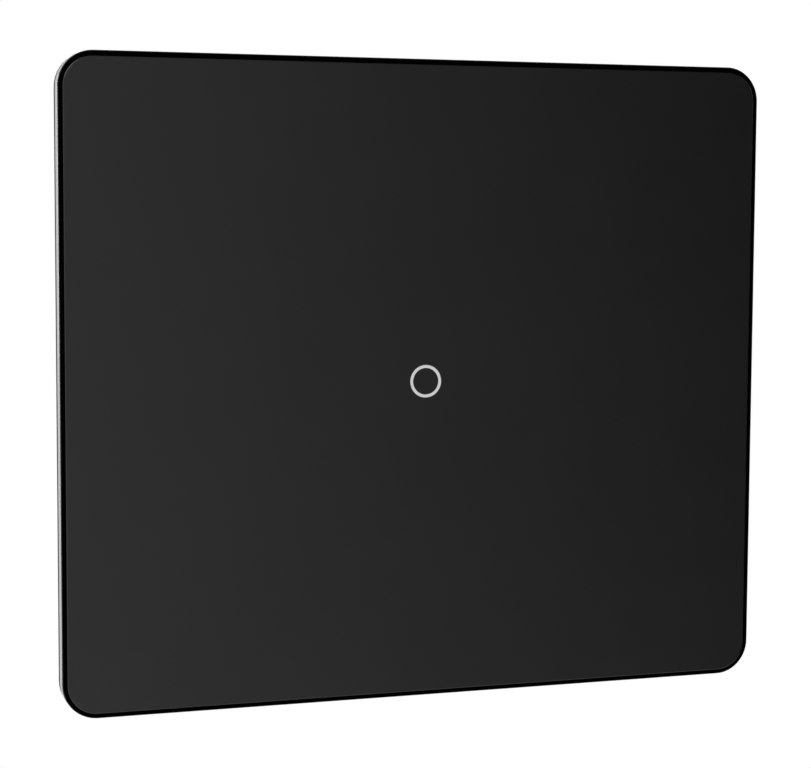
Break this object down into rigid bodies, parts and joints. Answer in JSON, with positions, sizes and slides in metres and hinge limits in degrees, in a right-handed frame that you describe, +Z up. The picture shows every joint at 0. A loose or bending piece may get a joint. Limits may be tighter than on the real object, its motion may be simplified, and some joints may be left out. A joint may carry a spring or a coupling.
{
  "type": "touch light switch",
  "caption": "Wall-mounted touch light switch: flat black glass panel with a thin silver rim and a small ring mark, on a steel frame with a box module behind.",
  "frame": {"origin": "on the wall surface at the centre of the panel, where the steel frame's rear face lies", "axes": "+Y into the wall, +X to the right as seen from the front, +Z up"},
  "size_m": [0.1, 0.0322, 0.0874],
  "materials": {
    "black_glass": "black printed glass with a ground edge",
    "ring_mark": "light grey, satin",
    "black_film": "black film",
    "rim_metal": "satin anodised",
    "dark_plastic": "moulded, fine texture",
    "nickel": "nickel plated",
    "pin_steel": "ground steel",
    "frame_steel": "zinc plated sheet",
    "cover_plastic": "moulded, fine texture",
    "housing_plastic": "moulded, light grey",
    "screw_steel": "zinc plated",
    "circuit_board": "green solder mask",
    "spring_wire": "bright wire",
    "clear_plastic": "clear",
    "light_die": "cast resin",
    "chip_resin": "black resin",
    "chip_ceramic": "ceramic with tinned ends",
    "switch_metal": "stamped",
    "tin_plate": "tin plate",
    "connector_plastic": "black",
    "spacer_nylon": "natural nylon",
    "relay_plastic": "black",
    "coil_winding": "enamelled copper",
    "relay_iron": "nickel plated iron",
    "blade_bronze": "bronze spring sheet",
    "contact_silver": "silver",
    "ferrite": "sintered",
    "coil_tape": "yellow tape",
    "capacitor_sleeve": "dark sleeve",
    "fuse_resin": "brown",
    "disc_resin": "blue, dipped",
    "bar_brass": "tinned brass",
    "block_plastic": "moulded, dark grey",
    "clamp_steel": "zinc plated",
    "button_plastic": "moulded, grey"
  },
  "bodies": {
    "module": {"support_frame": "frame_steel", "front_cover": "cover_plastic", "rear_housing": "housing_plastic", "cover_screws": "screw_steel", "touch_board": "circuit_board", "touch_spring": "spring_wire", "light_tube": "clear_plastic", "indicator_light": "light_die", "touch_chips": "chip_resin", "touch_parts": "chip_ceramic", "pairing_switch": "switch_metal", "radio_board": "circuit_board", "radio_shield": "tin_plate", "pin_header": "connector_plastic", "header_socket": "connector_plastic", "board_spacers": "spacer_nylon", "main_board": "circuit_board", "relay_base": "relay_plastic", "relay_case": "relay_plastic", "relay_coil": "coil_winding", "relay_core": "relay_iron", "relay_yoke": "relay_iron", "relay_contact": "contact_silver", "transformer_core": "ferrite", "transformer_coil": "coil_tape", "bulk_capacitor": "capacitor_sleeve", "small_capacitors": "capacitor_sleeve", "fuse": "fuse_resin", "surge_disc": "disc_resin", "rectifier": "chip_resin", "choke": "ferrite", "terminal_bars": "bar_brass", "terminal_block": "block_plastic"},
    "front_panel": {"glass_panel": "black_glass", "ring_inlay": "ring_mark", "backing_film": "black_film", "panel_rim": "rim_metal", "panel_carrier": "dark_plastic", "panel_magnets": "nickel", "guide_pins": "pin_steel"},
    "button": {"pairing_button": "button_plastic"},
    "armature": {"relay_armature": "relay_iron", "relay_blade": "blade_bronze"},
    "clamp_1": {"terminal_clamp_1": "clamp_steel"},
    "screw_1": {"terminal_screw_1": "screw_steel"},
    "clamp_2": {"terminal_clamp_2": "clamp_steel"},
    "screw_2": {"terminal_screw_2": "screw_steel"},
    "clamp_3": {"terminal_clamp_3": "clamp_steel"},
    "screw_3": {"terminal_screw_3": "screw_steel"},
    "clamp_4": {"terminal_clamp_4": "clamp_steel"},
    "screw_4": {"terminal_screw_4": "screw_steel"}
  },
  "joints": [
    {"name": "panel_pull", "type": "slide", "parent": "module", "child": "front_panel", "axis": [0, -1, 0], "range_m": [0, 0.025]},
    {"name": "button_press", "type": "slide", "parent": "module", "child": "button", "axis": [0, 1, 0], "range_m": [0, 0.0003], "stiffness_N_per_m": 400, "springref_m": -0.0003},
    {"name": "armature_tilt", "type": "hinge", "parent": "module", "child": "armature", "pos_m": [-0.00715, 0.02005, 0.00605], "axis": [0, 0, -1], "range_deg": [0, 3.2], "stiffness_Nm_per_rad": 0.005, "springref_deg": -2.86},
    {"name": "screw_turn_1", "type": "hinge", "parent": "module", "child": "screw_1", "pos_m": [-0.0135, 0.0229, -0.016], "axis": [0, -1, 0], "range_deg": [0, 1440]},
    {"name": "clamp_lift_1", "type": "slide", "parent": "module", "child": "clamp_1", "axis": [0, 1, 0], "range_m": [0, 0.002]},
    {"name": "screw_turn_2", "type": "hinge", "parent": "module", "child": "screw_2", "pos_m": [-0.0045, 0.0229, -0.016], "axis": [0, -1, 0], "range_deg": [0, 1440]},
    {"name": "clamp_lift_2", "type": "slide", "parent": "module", "child": "clamp_2", "axis": [0, 1, 0], "range_m": [0, 0.002]},
    {"name": "screw_turn_3", "type": "hinge", "parent": "module", "child": "screw_3", "pos_m": [0.0045, 0.0229, -0.016], "axis": [0, -1, 0], "range_deg": [0, 1440]},
    {"name": "clamp_lift_3", "type": "slide", "parent": "module", "child": "clamp_3", "axis": [0, 1, 0], "range_m": [0, 0.002]},
    {"name": "screw_turn_4", "type": "hinge", "parent": "module", "child": "screw_4", "pos_m": [0.0135, 0.0229, -0.016], "axis": [0, -1, 0], "range_deg": [0, 1440]},
    {"name": "clamp_lift_4", "type": "slide", "parent": "module", "child": "clamp_4", "axis": [0, 1, 0], "range_m": [0, 0.002]}
  ],
  "couplings": [
    {"joint": "screw_turn_1", "follows": "clamp_lift_1", "rad_per_m": 12566},
    {"joint": "screw_turn_2", "follows": "clamp_lift_2", "rad_per_m": 12566},
    {"joint": "screw_turn_3", "follows": "clamp_lift_3", "rad_per_m": 12566},
    {"joint": "screw_turn_4", "follows": "clamp_lift_4", "rad_per_m": 12566}
  ]
}
